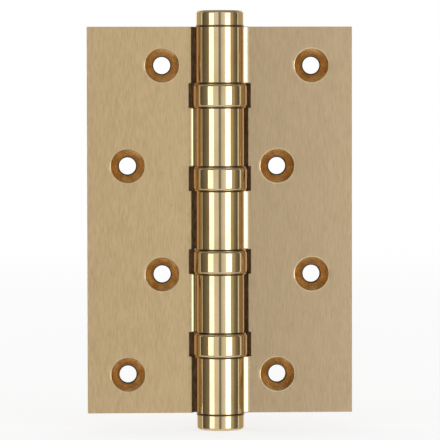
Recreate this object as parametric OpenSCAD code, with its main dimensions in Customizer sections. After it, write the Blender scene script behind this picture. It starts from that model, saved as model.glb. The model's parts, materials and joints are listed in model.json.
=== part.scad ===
// Solid brass butt hinge with four ball bearings, shown opened flat.
// The pin's axis is Z and the origin is on it, half way up. The screwed faces look towards -Y.
// The frame leaf is at +X with knuckles 1, 3 and 5 from the top, and the door leaf is at -X
// with knuckles 2 and 4. One ball bearing lies in each gap between two knuckles.

/* [Leaves] */
// Height of both leaves
leaf_h = 102; // [80:1:160]
// Width over both leaves when the hinge is flat
open_w = 70; // [60:1:120]
// Thickness of a leaf
leaf_t = 3; // [2:0.1:4]
// Gap between the leaves' faces when the hinge is shut
shut_gap = 3; // [2:0.1:4]

/* [Knuckles] */
// Diameter of the knuckles
knuckle_d = 12.7; // [12.5:0.1:16]
// Height of the top and bottom knuckles
end_knuckle_h = 14.9; // [8:0.1:18]
// Width of the slope by which a leaf's face rises to its knuckle
slope_w = 1.55; // [1.2:0.05:2]
// Radius of that slope
slope_r = 4; // [3:0.5:8]
// Radius of the fillet between a leaf's back and its knuckle
back_fillet_r = 0.8; // [0.3:0.1:1.5]
// Space left round a knuckle by the other leaf
knuckle_clear = 1.4; // [0.5:0.1:2]
// How far the round spaces close towards the leaves' backs, as a share of their clearance
space_lean = 0.95; // [0:0.05:1]

/* [Screw holes] */
// Diameter of the screw holes
screw_hole_d = 4.5; // [3:0.1:5.5]
// Diameter of the countersinks at the face
countersink_d = 9; // [6:0.1:10]
// Angle across the countersinks
countersink_angle = 90; // [82:1:100]
// Distance from the pin's axis to the column of holes nearest to it
near_column = 15.2; // [13.5:0.1:18]
// Distance from a leaf's outer edge to its other column of holes
side_margin = 10.7; // [6:0.1:12]
// Distance from a leaf's end to the first row of holes
end_margin = 10.2; // [6:0.1:14]
// Spacing of the two middle rows of holes
middle_spacing = 28.6; // [20:0.1:40]

/* [Pin and tips] */
// Diameter of the pin
pin_d = 6.35; // [5:0.05:6.5]
// Radial running clearance between the pin and its bores
pin_clear = 0.05; // [0.02:0.01:0.1]
// Chamfer on the pin's ends
pin_chamfer = 0.4; // [0.1:0.1:1]
// Height of the tips beyond the leaves
tip_h = 4.2; // [2:0.1:8]
// Radial step from a knuckle in to its tip
tip_step = 0.05; // [0.05:0.05:1]
// Radius on a tip's outer edge
tip_edge_r = 0.8; // [0.2:0.1:1.5]
// Depth to which a tip's spigot enters its knuckle
spigot_h = 5; // [2:0.5:8]
// Radial clearance round a spigot
spigot_clear = 0.02; // [0.01:0.01:0.05]

/* [Ball bearings] */
// Height of the gap between two knuckles
bearing_gap = 6.5; // [5.5:0.1:9]
// Radial step from a knuckle out to a bearing's shell
shell_step = 0.75; // [0.7:0.05:1.5]
// Gap between a shell and each knuckle beside it
shell_end_gap = 0.25; // [0.15:0.05:0.4]
// Radial space round a shell in the leaves' pockets
shell_clear = 1.3; // [0.5:0.1:2]
// Wall of a shell
shell_wall = 0.8; // [0.5:0.05:0.9]
// Thickness of a shell's inward lips
lip_h = 0.6; // [0.3:0.05:0.8]
// Length of a shell's inward lips
lip_l = 0.5; // [0.3:0.05:0.8]
// Radius on a shell's outer edges
shell_edge_r = 0.7; // [0.2:0.05:0.75]
// Clearance between a race and the shell round it
race_clear = 0.05; // [0.02:0.01:0.1]
// Radial clearance between a race's boss and the shell's lip
boss_clear = 0.2; // [0.1:0.05:0.3]
// End play of a bearing's upper race under the shell's lip
race_end_play = 0.1; // [0.05:0.05:0.2]
// Distance between the two races of a bearing
race_gap = 1.6; // [1.4:0.05:1.8]
// Diameter of the balls
ball_d = 2; // [1.9:0.05:2.1]
// Least distance between the centres of two balls
ball_spacing = 2.45; // [2.4:0.05:4]
// Clearance between a ball and its groove or pocket
ball_clear = 0.05; // [0.02:0.01:0.08]
// Thickness of a cage
cage_t = 1; // [0.6:0.05:1.2]
// Radial clearance between a cage and the pin or shell
cage_clear = 0.15; // [0.05:0.05:0.2]

/* [Hidden] */
$fn = 96;
overlap = 0.1;           // how far a cut runs past the face it opens
blend = 0.002;           // how far a rounded corner's arc runs into what it joins
knuckle_r = knuckle_d / 2;
middle_knuckle_h = (leaf_h - 2 * end_knuckle_h - 4 * bearing_gap) / 3;
face_y = shut_gap / 2;
back_y = face_y + leaf_t;
half_w = open_w / 2;
far_column = half_w - side_margin;
end_row = leaf_h / 2 - end_margin;
middle_row = middle_spacing / 2;
pin_r = pin_d / 2;
bore_r = pin_r + pin_clear;
spigot_r = bore_r - spigot_clear;
shell_r = knuckle_r + shell_step;
shell_h = bearing_gap - 2 * shell_end_gap;
room_r = shell_r - shell_wall;
lip_r = room_r - lip_l;
race_r = room_r - race_clear;
boss_r = lip_r - boss_clear;
ball_r = ball_d / 2;
ball_circle_r = (bore_r + race_r) / 2;
ball_count = floor(2 * PI * ball_circle_r / ball_spacing);

brass = "#c8a564";
polished_brass = "#d8b46a";
steel = "#b9bcc0";

BEARINGS = [1, 2, 3, 4];
FRAME_KNUCKLES = [1, 3, 5];
DOOR_KNUCKLES = [2, 4];

// Knuckles and bearings are numbered from the top.
function knuckle_h(k) = k == 1 || k == 5 ? end_knuckle_h : middle_knuckle_h;
function knuckle_top(k) = leaf_h / 2 - (k == 1 ? 0
  : end_knuckle_h + bearing_gap + (k - 2) * (middle_knuckle_h + bearing_gap));
function bearing_z(n) = knuckle_top(n) - knuckle_h(n) - bearing_gap / 2;

// Cross-section of a leaf with its knuckle, the same over the whole height before it is cut.
// The slope's arc runs from the leaf's face to meet_point on the knuckle, and the fillet at the back
// rolls on the knuckle and the back.
module leaf_section() {
  slope_centre = [knuckle_r + slope_w, face_y - slope_r];
  reach = norm(slope_centre);
  corner = acos((slope_r ^ 2 + reach ^ 2 - knuckle_r ^ 2) / (2 * slope_r * reach));
  meet_angle = atan2(-slope_centre[1], -slope_centre[0]) - corner;
  meet_point = slope_centre + slope_r * [cos(meet_angle), sin(meet_angle)];
  back_centre_y = back_y + back_fillet_r;
  back_centre = [sqrt((knuckle_r + back_fillet_r) ^ 2 - back_centre_y ^ 2), back_centre_y];
  mid_y = (face_y + back_y) / 2;
  circle(knuckle_r);
  translate([0, face_y]) square([half_w, leaf_t]);
  difference() {
    polygon([
      [0, 0], meet_point, slope_centre, [slope_centre[0], mid_y],
      [back_centre[0], mid_y], back_centre
    ]);
    translate(slope_centre) circle(slope_r + blend);
    translate(back_centre) circle(back_fillet_r + blend);
  }
}

// A round space of radius r at the leaves' faces. Its axis lies before the pin's axis by lean, so that
// it narrows towards their backs and the barrel hides what is behind.
module round_space(r, lean, h) {
  translate([0, -lean, 0]) cylinder(h = h, r = sqrt(r ^ 2 - face_y ^ 2 + (face_y + lean) ^ 2));
}

// The round space for a knuckle of the other leaf.
module knuckle_space(k) {
  translate([0, 0, knuckle_top(k) - knuckle_h(k) - overlap])
    round_space(knuckle_r + knuckle_clear, space_lean * knuckle_clear, knuckle_h(k) + 2 * overlap);
}

// The round pocket for a bearing, between two knuckles.
module bearing_space(n) {
  translate([0, 0, bearing_z(n) - bearing_gap / 2])
    round_space(shell_r + shell_clear, space_lean * shell_clear, bearing_gap);
}

// A countersunk screw hole through a leaf, with the countersink in its face.
module screw_hole(x, z) {
  sink = (countersink_d - screw_hole_d) / 2 / tan(countersink_angle / 2);
  slope = tan(countersink_angle / 2);
  translate([x, face_y, z]) rotate([-90, 0, 0]) {
    translate([0, 0, -overlap]) cylinder(h = leaf_t + 2 * overlap, d = screw_hole_d);
    translate([0, 0, -overlap])
      cylinder(h = sink + overlap, r1 = countersink_d / 2 + overlap * slope, r2 = screw_hole_d / 2);
  }
}

// A leaf at +X. The columns list the distance from the axis of each hole, from the top down.
module leaf(other_knuckles, columns) {
  rows = [end_row, middle_row, -middle_row, -end_row];
  difference() {
    translate([0, 0, -leaf_h / 2]) linear_extrude(leaf_h) leaf_section();
    for (k = other_knuckles) knuckle_space(k);
    for (n = BEARINGS) bearing_space(n);
    cylinder(h = leaf_h + 2 * overlap, r = bore_r, center = true);
    for (i = [0:3]) screw_hole(columns[i], rows[i]);
  }
}

module frame_leaf() {
  color(brass) leaf(DOOR_KNUCKLES, [far_column, near_column, far_column, near_column]);
}

module door_leaf() {
  color(brass) mirror([1, 0, 0])
    leaf(FRAME_KNUCKLES, [near_column, far_column, near_column, far_column]);
}

// The pin runs between the spigots of the two tips.
module hinge_pin() {
  half = leaf_h / 2 - spigot_h;
  color(steel) rotate_extrude()
    polygon([
      [0, -half], [pin_r - pin_chamfer, -half], [pin_r, -half + pin_chamfer],
      [pin_r, half - pin_chamfer], [pin_r - pin_chamfer, half], [0, half]
    ]);
}

// A cap that closes the barrel's end, with a spigot in the knuckle's bore.
module tip() {
  cap_r = knuckle_r - tip_step;
  color(polished_brass) rotate_extrude() {
    square([cap_r, tip_h - tip_edge_r]);
    square([cap_r - tip_edge_r, tip_h]);
    translate([0, -spigot_h]) square([spigot_r, spigot_h + overlap]);
    intersection() {
      translate([cap_r - tip_edge_r, tip_h - tip_edge_r]) circle(tip_edge_r);
      square([cap_r, tip_h]);
    }
  }
}

module top_tip() {
  translate([0, 0, leaf_h / 2]) tip();
}

module bottom_tip() {
  mirror([0, 0, 1]) top_tip();
}

// The polished ring round a bearing. Its two lips keep the races in.
module bearing_shell(n) {
  color(polished_brass) translate([0, 0, bearing_z(n)]) rotate_extrude() difference() {
    union() {
      for (side = [-1, 1])
        translate([shell_r - shell_edge_r, side * (shell_h / 2 - shell_edge_r)]) circle(shell_edge_r);
      translate([lip_r, -shell_h / 2]) square([shell_r - shell_edge_r - lip_r, shell_h]);
      translate([lip_r, shell_edge_r - shell_h / 2])
        square([shell_r - lip_r, shell_h - 2 * shell_edge_r]);
    }
    translate([lip_r - overlap, lip_h - shell_h / 2])
      square([room_r - lip_r + overlap, shell_h - 2 * lip_h]);
  }
}

// A race with its boss against a knuckle. play is its end clearance below the shell's lip.
module race(play) {
  color(steel) rotate_extrude() difference() {
    union() {
      translate([bore_r, race_gap / 2])
        square([race_r - bore_r, shell_h / 2 - lip_h - play - race_gap / 2]);
      translate([bore_r, race_gap / 2])
        square([boss_r - bore_r, (bearing_gap - race_gap) / 2]);
    }
    translate([ball_circle_r, 0]) circle(ball_r + ball_clear);
  }
}

module bearing_upper_race(n) {
  translate([0, 0, bearing_z(n)]) race(race_end_play);
}

module bearing_lower_race(n) {
  translate([0, 0, bearing_z(n)]) mirror([0, 0, 1]) race(0);
}

// Places one child at the centre of each ball.
module at_balls(n) {
  for (i = [0:ball_count - 1])
    translate([0, 0, bearing_z(n)]) rotate(i * 360 / ball_count) translate([ball_circle_r, 0, 0])
      children();
}

module bearing_cage(n) {
  color(polished_brass) difference() {
    translate([0, 0, bearing_z(n)]) difference() {
      cylinder(h = cage_t, r = room_r - cage_clear, center = true);
      cylinder(h = cage_t + 2 * overlap, r = pin_r + cage_clear, center = true);
    }
    at_balls(n) cylinder(h = cage_t + 2 * overlap, r = ball_r + ball_clear, center = true);
  }
}

module bearing_balls(n) {
  color(steel) at_balls(n) sphere(ball_r);
}

frame_leaf();
door_leaf();
hinge_pin();
top_tip();
bottom_tip();
for (n = BEARINGS) {
  bearing_shell(n);
  bearing_upper_race(n);
  bearing_lower_race(n);
  bearing_cage(n);
  bearing_balls(n);
}
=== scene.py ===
# Brass butt hinge with four ball bearings: its surfaces, light and camera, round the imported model.
import bpy
import bmesh
import json
import math
from mathutils import Matrix, Vector


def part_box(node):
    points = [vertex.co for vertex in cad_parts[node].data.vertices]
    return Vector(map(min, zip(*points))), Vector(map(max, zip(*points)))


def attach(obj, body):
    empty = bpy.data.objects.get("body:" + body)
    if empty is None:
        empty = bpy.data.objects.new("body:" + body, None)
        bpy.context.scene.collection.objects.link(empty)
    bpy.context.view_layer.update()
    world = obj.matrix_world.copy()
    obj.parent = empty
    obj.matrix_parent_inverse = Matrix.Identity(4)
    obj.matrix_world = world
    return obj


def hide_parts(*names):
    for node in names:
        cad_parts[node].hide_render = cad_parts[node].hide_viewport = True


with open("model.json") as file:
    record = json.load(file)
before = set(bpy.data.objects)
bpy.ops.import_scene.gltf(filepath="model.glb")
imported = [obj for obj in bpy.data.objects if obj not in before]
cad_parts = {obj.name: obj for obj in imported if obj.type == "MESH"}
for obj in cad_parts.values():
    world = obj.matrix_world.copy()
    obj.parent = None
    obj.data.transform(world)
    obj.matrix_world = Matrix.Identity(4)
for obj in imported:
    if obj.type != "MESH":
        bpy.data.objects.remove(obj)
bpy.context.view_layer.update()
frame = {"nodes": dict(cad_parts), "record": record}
record = frame["record"]
scene = bpy.context.scene
mm = 0.001  # pieces are modelled in millimetres and scaled once at the end
tiny = 1e-4  # points closer than this are one, in millimetres
inside = 2e-4  # how far turned pieces stay inside the model's box
smoothLimit = math.radians(30)  # edges sharper than this stay sharp in the shading
flatLimit = 0.01  # faces that meet at less than this, in radians, are one surface
leafThickness = 3.0
knuckleRadius = 6.35
print("model loaded:", len(frame["nodes"]), "nodes")


def boxOf(node):
    low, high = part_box(node)
    return low / mm, high / mm


# heights along the pin and the leaves' faces, as the model has them
mounts = {mount["name"]: mount for mount in record["mounts"]}
backY = mounts["frame_back"]["pos_m"][1] / mm
frontY = backY - leafThickness
leafBottom, leafTop = boxOf("door_leaf")[0].z, boxOf("door_leaf")[1].z
outerX = boxOf("frame_leaf")[1].x
ringRadius = boxOf("bearing_1_shell")[1].x
floorZ = boxOf("bottom_tip")[0].z
bearings = [1, 2, 3, 4]
# each pocket runs from the top of its bearing's upper race to the foot of the lower one
pockets = []
for n in bearings:
    pockets.append((boxOf(f"bearing_{n}_upper_race")[1].z, boxOf(f"bearing_{n}_lower_race")[0].z))


def screwHoles(leafName):
    # where a leaf's screws go, in X and Z
    holes = []
    for mount in record["mounts"]:
        if mount["kind"] == "bolt_pattern" and mount["name"].startswith(leafName):
            x, _, z = (value / mm for value in mount["pos_m"])
            half = mount["dims"]["spacing_y_mm"] / 2
            holes += [(x, z + half), (x, z - half)]
    return holes


def edgesIn(geometry):
    return [item for item in geometry if isinstance(item, bmesh.types.BMEdge)]


def vertsIn(geometry):
    return [item for item in geometry if isinstance(item, bmesh.types.BMVert)]


class Pen:
    # draws an outline in a plane, one extruded or spun vertex after another
    def __init__(self, bm, start, axis=(0, 0, 1)):
        self.bm, self.axis = bm, axis
        self.first = self.vert = bmesh.ops.create_vert(bm, co=start)["vert"][0]
        self.edges = []

    def line(self, point):
        made = bmesh.ops.extrude_vert_indiv(self.bm, verts=[self.vert])
        self.vert = made["verts"][0]
        self.vert.co = point
        self.edges += made["edges"]

    def arc(self, centre, angle, steps):
        made = bmesh.ops.spin(self.bm, geom=[self.vert], cent=centre, axis=self.axis, angle=angle,
                              steps=steps)
        end = vertsIn(made["geom_last"])[0]
        while self.vert != end:
            # the new vertices are followed in order, so that the pen knows its edges
            step = [edge for edge in self.vert.link_edges if edge not in self.edges][0]
            self.edges.append(step)
            self.vert = step.other_vert(self.vert)

    def close(self):
        self.edges.append(self.bm.edges.new((self.vert, self.first)))
        return self.edges


def edgesOf(verts):
    # every edge of a loop once, in an order that is the same on each run
    return list(dict.fromkeys(edge for vert in verts for edge in vert.link_edges))


def extrudeBy(bm, edges, vector):
    made = bmesh.ops.extrude_edge_only(bm, edges=edges)["geom"]
    bmesh.ops.translate(bm, verts=vertsIn(made), vec=vector)


def bridgeFlat(bm, outer, inner, lift):
    # two loops in one plane: the inner one is lifted meanwhile, or the bridge may come out twisted
    verts = list(dict.fromkeys(vert for edge in inner for vert in edge.verts))
    bmesh.ops.translate(bm, verts=verts, vec=lift)
    bmesh.ops.bridge_loops(bm, edges=outer + inner)
    bmesh.ops.translate(bm, verts=verts, vec=-Vector(lift))


def roundEdges(bm, degrees, width):
    # only outward corners, whose signed angle is positive
    limit = math.radians(degrees)
    shared = [edge for edge in bm.edges if len(edge.link_faces) == 2]
    corners = [edge for edge in shared if edge.calc_face_angle_signed(0) > limit]
    bmesh.ops.bevel(bm, geom=corners, offset=width, offset_type="OFFSET", segments=2, profile=0.5,
                    affect="EDGES", clamp_overlap=True, material=-1)


def addToScene(name, data, place=(0, 0, 0)):
    item = bpy.data.objects.new(name, data)
    item.location = place
    scene.collection.objects.link(item)
    return item


def addMesh(name, bm, material, place=(0, 0, 0)):
    mesh = bpy.data.meshes.new(name)
    bm.to_mesh(mesh)
    bm.free()
    mesh.materials.append(material)
    return addToScene(name, mesh, place)


def finishPiece(bm, name, body, replaced, material):
    # brings a piece to metres, shades it, attaches it to its body and hides the node it replaces
    bmesh.ops.remove_doubles(bm, verts=bm.verts, dist=tiny)
    bmesh.ops.recalc_face_normals(bm, faces=bm.faces)
    bmesh.ops.scale(bm, verts=bm.verts, vec=(mm, mm, mm))
    for face in bm.faces:
        face.smooth = True
    for edge in bm.edges:
        edge.smooth = edge.calc_face_angle(0) < smoothLimit
    piece = addMesh(name, bm, material)
    # broad faces keep their own direction beside the narrow rounded edges
    weights = piece.modifiers.new("flatFaces", "WEIGHTED_NORMAL")
    weights.keep_sharp = True
    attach(piece, body)
    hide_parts(replaced)
    return piece


class Wire:
    # a socket of a node tree: arithmetic on it adds Math nodes
    def __init__(self, tree, socket=None):
        self.tree, self.socket = tree, socket

    def node(self, kind, settings=None, inputs=None, output=0):
        made = self.tree.nodes.new("ShaderNode" + kind)
        for name, value in (settings or {}).items():
            setattr(made, name, value)
        for name, value in (inputs or {}).items():
            if isinstance(value, Wire):
                self.tree.links.new(value.socket, made.inputs[name])
            else:
                made.inputs[name].default_value = value
        return Wire(self.tree, made.outputs[output] if len(made.outputs) else None)

    def math(self, operation, *values):
        return self.node("Math", {"operation": operation}, dict(enumerate(values)))

    def vector(self, operation, *values, output=0):
        return self.node("VectorMath", {"operation": operation}, dict(enumerate(values)), output)

    def output(self, name):
        # another output of the same node
        return Wire(self.tree, self.socket.node.outputs[name])

    def __add__(self, other):
        return self.math("ADD", self, other)

    def __radd__(self, other):
        return self.math("ADD", other, self)

    def __sub__(self, other):
        return self.math("SUBTRACT", self, other)

    def __rsub__(self, other):
        return self.math("SUBTRACT", other, self)

    def __mul__(self, other):
        return self.math("MULTIPLY", self, other)

    def __rmul__(self, other):
        return self.math("MULTIPLY", other, self)

    def __truediv__(self, other):
        return self.math("DIVIDE", self, other)

    def __rtruediv__(self, other):
        return self.math("DIVIDE", other, self)

    def __abs__(self):
        return self.math("ABSOLUTE", self)

    def smallest(self, other):
        return self.math("MINIMUM", self, other)

    def ramp(self, low, high, place=0.0):
        # 0 below low, 1 above high and a smooth step between; low may be the larger one,
        # and both are counted from a place
        settings = {"interpolation_type": "SMOOTHSTEP"}
        inputs = {"Value": self, "From Min": place + low, "From Max": place + high}
        return self.node("MapRange", settings, inputs)

    def mix(self, first, second):
        return first + (second - first) * self

    def mixColour(self, first, second):
        # a Mix node's colours are its inputs 6 and 7 and its output 2
        inputs = {0: self, 6: first, 7: second}
        return self.node("Mix", {"data_type": "RGBA"}, inputs, 2)


def newMaterial(name):
    material = bpy.data.materials.new(name)
    material.use_nodes = True
    tree = material.node_tree
    tree.nodes.clear()
    return material, Wire(tree)


def coordinates(start):
    # object coordinates in millimetres, whole and apart
    place = start.node("TexCoord", output="Object")
    place = start.node("VectorMath", {"operation": "SCALE"}, {0: place, "Scale": 1 / mm})
    apart = start.node("SeparateXYZ", inputs={0: place})
    return place, [apart.output(axis) for axis in "XYZ"]


# each pattern: how many cells there are to a millimetre along each axis, detail, roughness and seed
patterns = {
    # on polished brass
    "cloud": ((0.25, 0.25, 0.12), 3.0, 0.5, 4.0),
    "wipe": ((2.2, 2.2, 0.35), 2.0, 0.5, 9.0),
    # on the leaves' faces
    "fine": ((3.0, 3.0, 0.35), 3.0, 0.6, 1.0),
    "broad": ((0.35, 0.35, 0.12), 2.0, 0.5, 2.0),
    "scratch": ((8.0, 8.0, 0.7), 2.0, 0.5, 3.0),
    # in the spaces round the barrel
    "rough": ((1.2, 1.2, 0.6), 3.0, 0.5, 6.0),
    # in the countersinks
    "wobble": ((0.4, 0.4, 0.4), 1.0, 0.5, 0.0),
    "chatter": ((1.6, 1.6, 1.6), 2.0, 0.5, 7.0),
    # broad patches of painted glints
    "glintPatch": ((0.42, 0.42, 0.42), 1.0, 0.5, 8.0),
    # on steel
    "oil": ((0.3, 0.3, 0.3), 2.0, 0.5, 5.0),
}


def noise(start, place, stretch, detail=2.0, roughness=0.5, seed=0.0):
    moved = start.vector("MULTIPLY", place, stretch)
    moved = start.vector("ADD", moved, (seed, seed * 0.7, seed * 1.3))
    return start.node("TexNoise", {"noise_dimensions": "3D"},
                      {"Vector": moved, "Scale": 1.0, "Detail": detail, "Roughness": roughness})


def pattern(start, place, name):
    return noise(start, place, *patterns[name])


def finishShader(start, colour, roughness, height, bumpDistance):
    bump = start.node("Bump", inputs={"Strength": 1.0, "Distance": bumpDistance * mm, "Height": height})
    inputs = {"Base Color": colour, "Roughness": roughness, "Metallic": 1.0, "Normal": bump}
    shader = start.node("BsdfPrincipled", inputs=inputs)
    start.node("OutputMaterial", inputs={"Surface": shader})


brass = {
    "light": (0.93, 0.70, 0.405, 1),
    "dark": (0.83, 0.615, 0.34, 1),
    "polished": (0.86, 0.68, 0.40, 1),
    "clouded": (0.78, 0.59, 0.32, 1),
    # painted shade for the barrel's sides beside the leaves
    "sideShade": (0.25, 0.14, 0.05, 1),
    "turned": (1.0, 0.70, 0.34, 1),
    "turnedDark": (0.66, 0.35, 0.12, 1),
    # painted highlight for the countersinks' rims
    "rim": (0.99, 0.79, 0.48, 1),
    # painted shade in the recesses and the countersinks' throats; the darkest one also darkens the seams
    "recessShade": (0.27, 0.165, 0.08, 1),
    "shadeAndGrime": (0.10, 0.06, 0.03, 1),
    # painted light: the two leaves are shaded and lit copies of one brass, the frame leaf darker and the
    # door leaf lighter
    "frameShadedTone": (0.845, 0.85, 0.91),
    "doorLitTone": (1.09, 1.08, 1.05),
    "satinRoughness": 0.32,
    "polishedRoughness": 0.09,
    "turnedRoughness": 0.24,
    "hollowRoughness": 0.5,
    "seamRoughness": 0.4,
    "sideShadeRoughness": 0.2,
    # how far the darkening spreads from a seam, in millimetres
    "leafSeamDark": 0.32,
    "ringSeamDark": 0.55,
    # depth of the finest marks, in millimetres
    "leafMarks": 0.012,
    "polishedMarks": 0.004,
    "cutterRings": 14.0,  # radians to a millimetre across the countersinks
}


# heights, counted from the middle, at which two pieces of the barrel meet
seams = [top for top, _ in pockets[:2]] + [foot for _, foot in pockets[:2]] + [leafTop]


def nearest(distances):
    least = distances[0]
    for distance in distances[1:]:
        least = least.smallest(distance)
    return least


def nearSeam(z, inner, outer):
    # 1 at a seam and 0 beyond the outer distance
    height = abs(z)
    return nearest([abs(height - seam) for seam in seams]).ramp(outer, inner)


def fromAxis(start, x, y):
    # distance from the pin's axis
    level = start.node("CombineXYZ", inputs={"X": x, "Y": y})
    return start.vector("LENGTH", level, output="Value")


# where the painted shade on the barrel's sides is out and where it is full
sideShadeZones = {
    # y as a share of the distance from the pin's axis: -1 is straight in front and 1 straight behind
    "front": (-0.57, -0.49),
    "behind": (0.34, 0.06),
    # in millimetres: from the leaves' backs, from the leaves' ends and from the barrel's own surface
    "backs": (0.7, -0.1),
    "ends": (0.1, 0),
    "surface": (0.1, 0.02),
    # how strong it is behind and in front
    "strength": (0.3, 1.0),
}


def polishedSurface(start, place, parts, seamDarkWidth, barrelRadius):
    # mirror polish with faint wipe marks, painted shade on the barrel's sides beside the leaves, and
    # darkening where two pieces meet
    x, y, z = parts
    cloud = pattern(start, place, "cloud")
    wipe = pattern(start, place, "wipe")
    colour = cloud.ramp(0.35, 0.75).mixColour(brass["polished"], brass["clouded"])
    roughness = brass["polishedRoughness"] + (cloud - 0.5) * 0.05 + (wipe - 0.5) * 0.05
    # darker, unevenly, where two pieces meet
    seamDark = nearSeam(z, 0.1, seamDarkWidth) * wipe.ramp(0.0, 0.4)
    colour = seamDark.mixColour(colour, brass["shadeAndGrime"])
    roughness = seamDark.mix(roughness, brass["seamRoughness"])
    # painted shade: the barrel's sides are darkened where they dip behind the leaves' faces
    radius = fromAxis(start, x, y)
    facing = y / radius
    zones = sideShadeZones
    side = facing.ramp(*zones["front"]) * y.ramp(*zones["backs"], backY)
    side = side * facing.ramp(*zones["behind"]).mix(*zones["strength"])
    side = side * abs(z).ramp(*zones["ends"], leafTop)
    side = side * radius.ramp(*zones["surface"], barrelRadius)
    colour = side.mixColour(colour, brass["sideShade"])
    roughness = side.mix(roughness, brass["sideShadeRoughness"])
    height = cloud * 0.6 + wipe * 0.1
    return colour, roughness, height


def toned(colour, tone):
    # a colour with each channel multiplied
    return tuple(channel * share for channel, share in zip(colour, tone)) + (1,)


# where each finish on a leaf is out and where it is full, in millimetres
leafZones = {
    # from the pin's axis
    "satin": (6.9, 8.4),
    "recessInner": (6.7, 7.0),
    "recessOuter": (8.5, 8.42),
    # from a screw's axis
    "countersink": (4.62, 4.5),
    "throat": (2.66, 2.44),
    "rimHighlightInner": (4.44, 4.5),
    "rimHighlightOuter": (4.76, 4.66),
    # from the leaf's front face, and then from its back
    "recessFront": (0.04, 0.2),
    "rimHighlightDepth": (0.3, 0.2),
    "recessBack": (-0.04, -0.2),
    "countersinkBack": (-0.02, -0.12),
}


def leafMaterial(name, holes, tone):
    zones = leafZones
    material, start = newMaterial(name)
    place, parts = coordinates(start)
    x, y, z = parts
    # satin faces, brushed along the height
    fine = pattern(start, place, "fine")
    broad = pattern(start, place, "broad")
    scratch = pattern(start, place, "scratch")
    streak = fine * 0.6 + broad * 0.2 + scratch * 0.2
    # each leaf's tone paints the frame leaf darker and the door leaf lighter, as painted light
    satinColour = streak.ramp(0.38, 0.62).mixColour(toned(brass["dark"], tone), toned(brass["light"], tone))
    satinRoughness = brass["satinRoughness"] + (fine - 0.5) * 0.2
    satinHeight = fine * 0.5 + scratch * 0.5
    # the barrel and its fillets are polished
    colour, roughness, height = polishedSurface(start, place, parts, brass["leafSeamDark"], knuckleRadius)
    radius = fromAxis(start, x, y)
    satin = radius.ramp(*zones["satin"])
    colour = satin.mixColour(colour, satinColour)
    roughness = satin.mix(roughness, satinRoughness)
    height = satin.mix(height * 0.15, satinHeight)
    # the walls round the barrel's gaps are never polished and are darkened with painted shade
    recessShade = radius.ramp(*zones["recessInner"]) * radius.ramp(*zones["recessOuter"])
    recessShade = recessShade * y.ramp(*zones["recessFront"], frontY) * y.ramp(*zones["recessBack"], backY)
    rough = pattern(start, place, "rough")
    colour = recessShade.mixColour(colour, rough.ramp(0.3, 0.7).mixColour(brass["shadeAndGrime"], brass["recessShade"]))
    roughness = recessShade.mix(roughness, brass["hollowRoughness"])
    # countersinks show the rings that the cutter left, and broad patches of painted glints
    plane = start.node("CombineXYZ", inputs={"X": x, "Z": z})
    centres = [(holeX, 0, holeZ) for holeX, holeZ in holes]
    reach = nearest([start.vector("DISTANCE", plane, centre, output="Value") for centre in centres])
    turned = reach.ramp(*zones["countersink"]) * y.ramp(*zones["countersinkBack"], backY)
    rings = start.math("SINE", (reach + pattern(start, place, "wobble") * 0.5) * brass["cutterRings"])
    chatter = pattern(start, place, "chatter")
    glintPatch = pattern(start, place, "glintPatch")
    mark = glintPatch.ramp(0.36, 0.64) * 0.5 + chatter.ramp(0.3, 0.7) * 0.3 + (rings * 0.1 + 0.1)
    colour = turned.mixColour(colour, mark.mixColour(brass["turnedDark"], brass["turned"]))
    roughness = turned.mix(roughness, brass["turnedRoughness"] + (chatter - 0.5) * 0.1)
    height = turned.mix(height, rings * 0.25 + chatter * 0.2)
    # painted shade darkens the throat, and a painted highlight brightens the countersink's rim
    # painted shade in the throat
    throat = reach.ramp(*zones["throat"]) * turned
    colour = throat.mixColour(colour, brass["shadeAndGrime"])
    roughness = throat.mix(roughness, brass["hollowRoughness"])
    # painted highlight on the rim
    rim = reach.ramp(*zones["rimHighlightInner"]) * reach.ramp(*zones["rimHighlightOuter"])
    rim = rim * y.ramp(*zones["rimHighlightDepth"], frontY)
    colour = rim.mixColour(colour, brass["rim"])
    finishShader(start, colour, roughness, height, brass["leafMarks"])
    return material


def polishedMaterial(name):
    material, start = newMaterial(name)
    place, parts = coordinates(start)
    colour, roughness, height = polishedSurface(start, place, parts, brass["ringSeamDark"], ringRadius)
    finishShader(start, colour, roughness, height, brass["polishedMarks"])
    return material


steelMarks = 0.01  # depth of the grinding marks, in millimetres
# each steel: tone, roughness and how many grinding rings there are to a millimetre
steel = {
    "pin": ((0.62, 0.62, 0.63, 1), 0.22, 6.0),
    "race": ((0.58, 0.58, 0.60, 1), 0.18, 8.0),
    "ball": ((0.70, 0.70, 0.72, 1), 0.08, 1.0),
}


def steelMaterial(name):
    # ground steel, whose rings run round the pin's axis
    tone, roughness, rings = steel[name]
    material, start = newMaterial(name + "Steel")
    place, parts = coordinates(start)
    grain = noise(start, place, (0.6, 0.6, rings), detail=3.0)
    oil = pattern(start, place, "oil")
    colour = (grain * 0.6 + oil * 0.4).ramp(0.35, 0.65).mixColour(toned(tone, (0.8, 0.8, 0.8)), tone)
    # the steel is darker where it shows in a seam
    colour = nearSeam(parts[2], 0.3, 0.6).mixColour(colour, brass["shadeAndGrime"])
    finishShader(start, colour, roughness + (grain - 0.5) * 0.15, grain, steelMarks)
    return material


frameBrass = leafMaterial("frameLeafBrass", screwHoles("frame"), brass["frameShadedTone"])
doorBrass = leafMaterial("doorLeafBrass", screwHoles("door"), brass["doorLitTone"])
polishedBrass = polishedMaterial("polishedBrass")
cageBrass = polishedMaterial("cageBrass")
pinSteel = steelMaterial("pin")
raceSteel = steelMaterial("race")
ballSteel = steelMaterial("ball")
print("finishes made")

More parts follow.
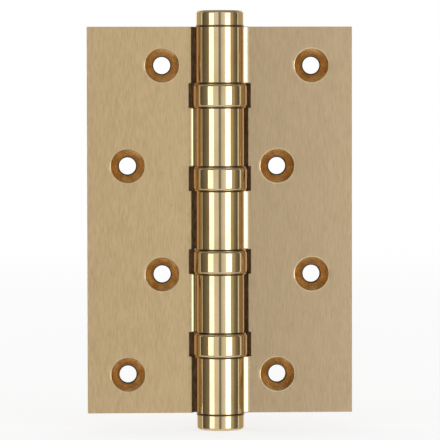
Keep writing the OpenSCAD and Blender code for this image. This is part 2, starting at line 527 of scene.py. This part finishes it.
leafSize = {
    "boreRadius": 3.225,
    "pocketRadius": 8.4,  # at the leaves' front faces
    "pocketLean": 1.235,  # how far the pocket's centre lies before the pin's axis
    "coveRadius": 7.75,
    "coveLean": 1.33,
    # where each leaf's face begins to rise towards its knuckle, and the radius of that slope;
    # the door leaf is forged a little tighter
    "frameSlope": (7.9, 4.0),
    "doorSlope": (7.95, 1.8),
    "backFillet": 0.8,
    "holeRadius": 2.25,
    "sinkRadius": 4.5,
    "sinkDepth": 2.25,
    "holeCell": 5.2,
    "holeSides": 64,
    "edgeRadius": 0.12,  # at most: clamp_overlap makes it less than 0.01 on both leaves
    "cornerAngle": 30,  # corners sharper than this are rounded, in degrees
    "knuckleSteps": 120,
    "filletSteps": 10,
    "spaceSteps": 8,
}


def roundSpace(kind):
    # radius and lean of the round space for a ring or for the other leaf's knuckle
    front, lean = leafSize[kind + "Radius"], leafSize[kind + "Lean"]
    return math.sqrt(front ** 2 - frontY ** 2 + (frontY + lean) ** 2), lean


def spaceEdge(kind, y):
    # how far from the pin's axis a round space meets a leaf's face
    radius, lean = roundSpace(kind)
    return math.sqrt(radius ** 2 - (y + lean) ** 2)


def leafOutline(bm, kind, z, leafName):
    # one closed outline of a leaf at height z, with the barrel's side of it as the kind says
    size = leafSize
    onAxis = (0, 0, z)
    pen = Pen(bm, (outerX, frontY, z))
    pen.line((spaceEdge("pocket", frontY), frontY, z))
    if kind == "knuckle":
        radius, back = knuckleRadius, size["backFillet"]
        slopeStart, slopeRadius = size[leafName + "Slope"]
        pen.line((slopeStart, frontY, z))
        # the slope ends where its circle meets the knuckle's, by the law of cosines
        centre = Vector((slopeStart, frontY - slopeRadius, z))
        reach = centre.xy.length
        corner = math.acos((slopeRadius ** 2 + reach ** 2 - radius ** 2) / (2 * slopeRadius * reach))
        rise = math.atan2(-centre.y, -centre.x) - corner - math.pi / 2
        pen.arc(centre, rise, size["filletSteps"])
        frontAngle = math.atan2(pen.vert.co.y, pen.vert.co.x)
        # round the knuckle, and by a small fillet on to the leaf's back
        backCentre = Vector((math.sqrt((radius + back) ** 2 - (backY + back) ** 2), backY + back, z))
        backAngle = math.atan2(backCentre.y, backCentre.x)
        pen.arc(onAxis, backAngle - frontAngle - 2 * math.pi, size["knuckleSteps"])
        pen.arc(backCentre, math.pi / 2 - backAngle, size["filletSteps"] // 2)
    else:
        radius, lean = roundSpace(kind)
        if kind == "cove":
            pen.line((spaceEdge(kind, frontY), frontY, z))
        angle = math.asin((backY + lean) / radius) - math.asin((frontY + lean) / radius)
        pen.arc((0, -lean, z), angle, size["spaceSteps"])
    if kind != "pocket":
        pen.line((spaceEdge("pocket", backY), backY, z))
    pen.line((outerX, backY, z))
    return pen.close()


def cutFaces(bm, faces, point, normal):
    geometry = list(faces)
    for face in faces:
        geometry += list(face.edges) + list(face.verts)
    geometry = list(dict.fromkeys(geometry))
    bmesh.ops.bisect_plane(bm, geom=geometry, dist=tiny, plane_co=point, plane_no=normal)


def facesWithin(bm, y, low, high):
    # flat faces of the leaf at depth y whose middles lie between two corners in X and Z
    found = []
    for face in bm.faces:
        middle = face.calc_center_median()
        within = low[0] < middle.x < high[0] and low[1] < middle.z < high[1]
        if within and all(abs(vert.co.y - y) < tiny for vert in face.verts):
            found.append(face)
    return found


def circleAt(bm, x, y, z, radius):
    sides = leafSize["holeSides"]
    matrix = Matrix.Translation((x, y, z)) @ Matrix.Rotation(math.pi / 2, 4, "X")
    made = bmesh.ops.create_circle(bm, cap_ends=False, radius=radius, segments=sides, matrix=matrix)
    return edgesOf(made["verts"])


def openCell(bm, x, y, z):
    # takes a square out of a leaf's face round a hole and returns its divided border
    half = leafSize["holeCell"]
    for side in (-1, 1):
        sheet = facesWithin(bm, y, (half, leafBottom), (outerX, leafTop))
        cutFaces(bm, sheet, (0, 0, z + side * half), (0, 0, 1))
    for side in (-1, 1):
        band = facesWithin(bm, y, (half, z - half), (outerX, z + half))
        cutFaces(bm, band, (x + side * half, 0, 0), (1, 0, 0))
    cell = facesWithin(bm, y, (x - half, z - half), (x + half, z + half))
    border = list(cell[0].edges)
    bmesh.ops.delete(bm, geom=cell, context="FACES_ONLY")
    made = bmesh.ops.bisect_edges(bm, edges=border, cuts=leafSize["holeSides"] // 4 - 1)
    return list(dict.fromkeys(border + edgesIn(made["geom_split"])))


def screwHole(bm, x, z):
    # countersunk from the front
    size = leafSize
    rim = circleAt(bm, x, frontY, z, size["sinkRadius"])
    throat = circleAt(bm, x, frontY + size["sinkDepth"], z, size["holeRadius"])
    backRim = circleAt(bm, x, backY, z, size["holeRadius"])
    bridgeFlat(bm, openCell(bm, x, frontY, z), rim, (0, 1, 0))
    bmesh.ops.bridge_loops(bm, edges=rim + throat)
    bmesh.ops.bridge_loops(bm, edges=throat + backRim)
    bridgeFlat(bm, openCell(bm, x, backY, z), backRim, (0, -1, 0))


def levelAt(edge, z):
    return all(abs(vert.co.z - z) < tiny for vert in edge.verts)


def isNeedless(edge):
    # a level edge in the middle of one upright wall
    if len(edge.link_faces) != 2 or edge.calc_face_angle(0) >= flatLimit:
        return False
    upright = abs(edge.link_faces[0].normal.z) < 0.5
    return upright and levelAt(edge, edge.verts[0].co.z)


def makeLeaf(name, ownKnuckles, holes, side, material):
    size = leafSize
    body = name.split("_")[0]
    bm = bmesh.new()
    tops = [leafTop] + [foot for _, foot in pockets]
    feet = [top for top, _ in pockets] + [leafBottom]
    spans = [("knuckle" if k + 1 in ownKnuckles else "cove", tops[k], feet[k]) for k in range(5)]
    spans += [("pocket", top, foot) for top, foot in pockets]
    for kind, top, foot in spans:
        outline = leafOutline(bm, kind, foot, body)
        extrudeBy(bm, outline, (0, 0, top - foot))
        if kind == "knuckle":
            # as many sides as the knuckle's end has, so that the two join in plain quads
            sides = size["knuckleSteps"] + size["filletSteps"] * 3 // 2 + size["spaceSteps"] + 2
            matrix = Matrix.Translation((0, 0, foot))
            bore = bmesh.ops.create_circle(bm, cap_ends=False, radius=size["boreRadius"], segments=sides,
                                           matrix=matrix)
            extrudeBy(bm, edgesOf(bore["verts"]), (0, 0, top - foot))
    for z in (leafTop, leafBottom):
        bmesh.ops.contextual_create(bm, geom=leafOutline(bm, "pocket", z, body))
    bmesh.ops.remove_doubles(bm, verts=bm.verts, dist=tiny)
    # the ledges between the spans close what is still open at each height
    boreReach = size["boreRadius"] + tiny
    for z in sorted({height for _, top, foot in spans for height in (top, foot)}):
        rim = [edge for edge in bm.edges if edge.is_boundary and levelAt(edge, z)]
        bore = [edge for edge in rim if all(vert.co.xy.length < boreReach for vert in edge.verts)]
        if bore:
            bridgeFlat(bm, [edge for edge in rim if edge not in bore], bore, (0, 0, 1))
        else:
            bmesh.ops.contextual_create(bm, geom=rim)
    bmesh.ops.recalc_face_normals(bm, faces=bm.faces)
    # faces that run on past a span are one face again
    bmesh.ops.dissolve_edges(bm, edges=[edge for edge in bm.edges if isNeedless(edge)], use_verts=True)
    for x, z in holes:
        screwHole(bm, abs(x), z)
    bmesh.ops.recalc_face_normals(bm, faces=bm.faces)
    roundEdges(bm, size["cornerAngle"], size["edgeRadius"])
    if side < 0:
        bmesh.ops.scale(bm, verts=bm.verts, vec=(-1, 1, 1))
        bmesh.ops.reverse_faces(bm, faces=bm.faces)
    piece = finishPiece(bm, name + "_finished", body, name, material)
    print(name, "made:", len(piece.data.polygons), "faces")


makeLeaf("frame_leaf", [1, 3, 5], screwHoles("frame"), 1, frameBrass)
makeLeaf("door_leaf", [2, 4], screwHoles("door"), -1, doorBrass)

ringSize = {
    "lipRadius": 5.8,
    "roomRadius": 6.3,
    "lipHeight": 0.6,
    "collarRadius": 6.8,  # a low collar on each end keeps dust out of the gap beside the knuckle
    "collarHeight": 0.235,
    "edgeRadius": 0.7,
    "innerEdge": 0.08,  # the inner corners are barely broken
    "cornerAngle": 50,
    "edgeSteps": 8,
    "sides": 144,
}
tipSize = {
    "spigotRadius": 3.205,
    "spigotHeight": 5.0,
    "edgeRadius": 0.8,
    "edgeSteps": 10,
    "footEdge": 0.08,
    "cornerAngle": 50,
    "sides": 144,
}


def spinAll(bm, sides):
    # turns an outline once round the pin's axis
    bmesh.ops.spin(bm, geom=bm.verts[:] + bm.edges[:], cent=(0, 0, 0), axis=(0, 0, 1), angle=2 * math.pi,
                   steps=sides, use_merge=True)


def makeRing(n):
    size = ringSize
    node = f"bearing_{n}_shell"
    low, high = boxOf(node)
    outer = high.x - inside
    edge = size["edgeRadius"]
    bm = bmesh.new()
    foot, top = low.z - size["collarHeight"], high.z + size["collarHeight"]
    pen = Pen(bm, (size["lipRadius"], 0, foot), axis=(0, 1, 0))
    pen.line((size["collarRadius"], 0, foot))
    # the collar stands on the rounded edge, a little way down its arc
    lean = math.asin((size["collarRadius"] - outer + edge) / edge)
    step = edge * (1 - math.cos(lean))
    pen.line((size["collarRadius"], 0, low.z + step))
    pen.arc((outer - edge, 0, low.z + edge), lean - math.pi / 2, size["edgeSteps"])
    pen.line((outer, 0, high.z - edge))
    pen.arc((outer - edge, 0, high.z - edge), lean - math.pi / 2, size["edgeSteps"])
    pen.line((size["collarRadius"], 0, top))
    pen.line((size["lipRadius"], 0, top))
    pen.line((size["lipRadius"], 0, high.z - size["lipHeight"]))
    pen.line((size["roomRadius"], 0, high.z - size["lipHeight"]))
    pen.line((size["roomRadius"], 0, low.z + size["lipHeight"]))
    pen.line((size["lipRadius"], 0, low.z + size["lipHeight"]))
    pen.close()
    spinAll(bm, size["sides"])
    bmesh.ops.remove_doubles(bm, verts=bm.verts, dist=tiny)
    bmesh.ops.recalc_face_normals(bm, faces=bm.faces)
    roundEdges(bm, size["cornerAngle"], size["innerEdge"])
    body = "door" if n in (1, 3) else "frame"
    finishPiece(bm, f"bearing_{n}_ring", body, node, polishedBrass)


def makeTip(node, side):
    size = tipSize
    low, high = boxOf(node)
    outer, edge = high.x, size["edgeRadius"]
    seat, end = (leafTop, high.z - inside) if side > 0 else (-leafBottom, -low.z - inside)
    bm = bmesh.new()
    pen = Pen(bm, (0, 0, seat - size["spigotHeight"]), axis=(0, 1, 0))
    pen.line((size["spigotRadius"], 0, seat - size["spigotHeight"]))
    pen.line((size["spigotRadius"], 0, seat))
    pen.line((outer, 0, seat))
    pen.line((outer, 0, end - edge))
    pen.arc((outer - edge, 0, end - edge), -math.pi / 2, size["edgeSteps"])
    pen.line((0, 0, end))
    spinAll(bm, size["sides"])
    bmesh.ops.remove_doubles(bm, verts=bm.verts, dist=tiny)
    bmesh.ops.recalc_face_normals(bm, faces=bm.faces)
    roundEdges(bm, size["cornerAngle"], size["footEdge"])
    if side < 0:
        bmesh.ops.scale(bm, verts=bm.verts, vec=(1, 1, -1))
        bmesh.ops.reverse_faces(bm, faces=bm.faces)
    finishPiece(bm, node + "_finished", "frame", node, polishedBrass)


for n in bearings:
    makeRing(n)
makeTip("top_tip", 1)
makeTip("bottom_tip", -1)
print("rings and tips made")

# the inner pieces keep the model's shapes and get their own finishes
innerFinish = {"hinge_pin": pinSteel}
for n in bearings:
    innerFinish[f"bearing_{n}_upper_race"] = raceSteel
    innerFinish[f"bearing_{n}_lower_race"] = raceSteel
    innerFinish[f"bearing_{n}_cage"] = cageBrass
    innerFinish[f"bearing_{n}_balls"] = ballSteel
for node, material in innerFinish.items():
    mesh = frame["nodes"][node].data
    mesh.materials.clear()
    mesh.materials.append(material)
print("inner pieces finished")

studio = {
    "azimuth": -3.0,  # degrees, to the left of straight on
    "elevation": 2.1,
    "distance": 0.9,
    "frameHeight": 0.116,  # what the view takes in at the pin's axis, in metres
    "roll": -0.1,
    "aimX": -0.05,
    "aimZ": 0.06,
    "sensorWidth": 36,
    # the pale room: how strongly it lights the hinge and how white it looks
    "roomLight": 0.7,
    "roomWhite": 1.0,
}
# each softbox: from and to angles, distance, height and brightness
softboxes = {
    "leftStrip": (-52, -30, 0.6, 0.3, 0.98),
    "rightStrip": (26, 50, 0.6, 0.3, 1.66),
}
plainGrey = (1, 1, 1, 1)
warmGrey = (1, 0.88, 0.66, 1)
# each screen: from and to angles, distance, height, brightness at both edges and tint
screens = {
    # the front
    "leftFarScreen": (-94.5, -53.5, 0.62, 0.95, (0.06, 0.26), warmGrey),
    "leftScreen": (-29, -6.5, 0.9, 1.3, (0.74, 0.71), plainGrey),
    "centreScreen": (-6.5, 4, 1.0, 1.5, (0.22, 0.22), plainGrey),
    "rightScreen": (4, 24, 0.9, 1.3, (0.57, 0.82), plainGrey),
    "rightMiddleScreen": (51.5, 67, 0.62, 0.95, (0.50, 0.40), warmGrey),
    "rightFarScreen": (67, 93, 0.62, 0.95, (0.26, 0.08), warmGrey),
    # the sides and the back
    "leftEdgeScreen": (-100, -94.5, 0.62, 0.95, (0.9, 0.9), plainGrey),
    "leftBackScreen": (-128, -100, 0.62, 0.95, (0.46, 0.42), warmGrey),
    "rightEdgeScreen": (94, 100, 0.62, 0.95, (0.75, 0.75), plainGrey),
    "rightBackScreen": (100, 128, 0.62, 0.95, (0.42, 0.46), warmGrey),
    "leftRearScreen": (-150, -128, 0.62, 0.95, (0.50, 0.46), warmGrey),
    "rightRearScreen": (128, 150, 0.62, 0.95, (0.46, 0.50), warmGrey),
    "backLeftStrip": (-163, -151, 0.60, 0.95, (1.4, 1.4), plainGrey),
    "backRightStrip": (151, 163, 0.60, 0.95, (1.4, 1.4), plainGrey),
    "backScreen": (163, 197, 0.9, 1.3, (0.62, 0.62), plainGrey),
}
# above and below: width, height and brightness
levelScreens = {
    "ceilingScreen": (4.0, 0.75, 0.27),
    "groundScreen": (4.0, -0.75, 0.72),
}


def aroundCamera(angle, distance, height=0.0):
    # a place at an angle from the camera's own direction, to the right of it when positive
    turn = math.radians(studio["azimuth"] + angle)
    return Vector((math.sin(turn) * distance, -math.cos(turn) * distance, height))


def widthBetween(fromAngle, toAngle, distance):
    return 2 * distance * math.tan(math.radians(abs(toAngle - fromAngle)) / 2)


def aimAt(item, target):
    item.rotation_euler = (Vector(target) - item.location).to_track_quat("-Z", "Y").to_euler()


def makeSoftbox(name, fromAngle, toAngle, distance, height, brightness):
    # brightness is what a mirror would show: 1 is plain white
    width = widthBetween(fromAngle, toAngle, distance)
    data = bpy.data.lights.new(name, "AREA")
    data.shape = "RECTANGLE"
    data.size = width
    data.size_y = height
    data.energy = brightness * math.pi * width * height
    lamp = addToScene(name, data, aroundCamera((fromAngle + toAngle) / 2, distance))
    aimAt(lamp, (0, 0, 0))
    lamp.visible_camera = False


def makeScreen(name, width, height, place, tones, tint):
    # a glowing panel that faces the hinge; its tone runs from one value to another over its width
    bm = bmesh.new()
    bmesh.ops.create_grid(bm, x_segments=1, y_segments=1, size=0.5)
    bmesh.ops.scale(bm, verts=bm.verts, vec=(width, height, 1))
    material, start = newMaterial(name)
    x = coordinates(start)[1][0]
    across = x * (mm / width) + 0.5
    shader = start.node("Emission", inputs={"Color": tint, "Strength": across.mix(*tones)})
    start.node("OutputMaterial", inputs={"Surface": shader})
    card = addMesh(name, bm, material, place)
    aimAt(card, (0, 0, 0))
    card.visible_camera = False
    card.visible_shadow = False
    card.visible_diffuse = False


for name, values in softboxes.items():
    makeSoftbox(name, *values)
for name, (fromAngle, toAngle, distance, height, tones, tint) in screens.items():
    place = aroundCamera((fromAngle + toAngle) / 2, distance)
    makeScreen(name, widthBetween(fromAngle, toAngle, distance), height, place, tones, tint)
for name, (width, height, tone) in levelScreens.items():
    makeScreen(name, width, width, (0, 0, height), (tone, tone), plainGrey)
print("lamps and screens made")

world = bpy.data.worlds.new("paleRoom")
scene.world = world
world.use_nodes = True
world.node_tree.nodes.clear()
start = Wire(world.node_tree)
# plain white where it is seen, also in metal, and a little darker as a light
rays = start.node("LightPath")
seen = rays.output("Is Camera Ray") + rays.output("Is Glossy Ray")
seen = (seen + rays.output("Is Transmission Ray")).smallest(1.0)
strength = seen.mix(studio["roomLight"], studio["roomWhite"])
background = start.node("Background", inputs={"Color": (1, 1, 1, 1), "Strength": strength})
start.node("OutputWorld", inputs={"Surface": background})

paperFloor = {
    "radius": 3.0,  # metres
    "fadeFrom": 300,  # where the paper begins to fade into the backdrop, in millimetres
    "fadeTo": 1200,
    "paper": (0.92, 0.92, 0.915, 1),
    "whiteShare": 0.6,  # how much of what the camera sees of it is plain white
    "white": 1.16,
}
material, start = newMaterial("paleFloor")
paper = start.node("BsdfDiffuse", inputs={"Color": paperFloor["paper"]})
clear = start.node("BsdfTransparent")
place = coordinates(start)[0]
fade = start.vector("LENGTH", place, output="Value").ramp(paperFloor["fadeFrom"], paperFloor["fadeTo"])
# from below the paper isn't there
fade = start.math("MAXIMUM", fade, start.node("NewGeometry", output="Backfacing"))
# the share of plain white keeps the shadows on the paper light
white = start.node("Emission", inputs={"Color": (1, 1, 1, 1), "Strength": paperFloor["white"]})
share = start.node("LightPath", output="Is Camera Ray") * paperFloor["whiteShare"]
paper = start.node("MixShader", inputs={0: share, 1: paper, 2: white})
ground = start.node("MixShader", inputs={0: fade, 1: paper, 2: clear})
start.node("OutputMaterial", inputs={"Surface": ground})
bm = bmesh.new()
level = Matrix.Translation((0, 0, floorZ * mm))
bmesh.ops.create_circle(bm, cap_ends=True, segments=96, radius=paperFloor["radius"], matrix=level)
floor = addMesh("floor", bm, material)
floor.visible_glossy = False

cameraData = bpy.data.cameras.new("camera")
elevation = math.radians(studio["elevation"])
aim = Vector((studio["aimX"], 0, studio["aimZ"])) * mm
height = studio["distance"] * math.sin(elevation)
fromAim = aroundCamera(0, studio["distance"] * math.cos(elevation), height)
camera = addToScene("camera", cameraData, aim + fromAim)
scene.camera = camera
aimAt(camera, aim)
cameraData.sensor_width = studio["sensorWidth"]
cameraData.lens = studio["sensorWidth"] * studio["distance"] / studio["frameHeight"]
cameraData.clip_start, cameraData.clip_end = 0.01, 20
camera.rotation_euler.rotate_axis("Z", math.radians(studio["roll"]))
scene.view_settings.view_transform = "Standard"
print("studio set")
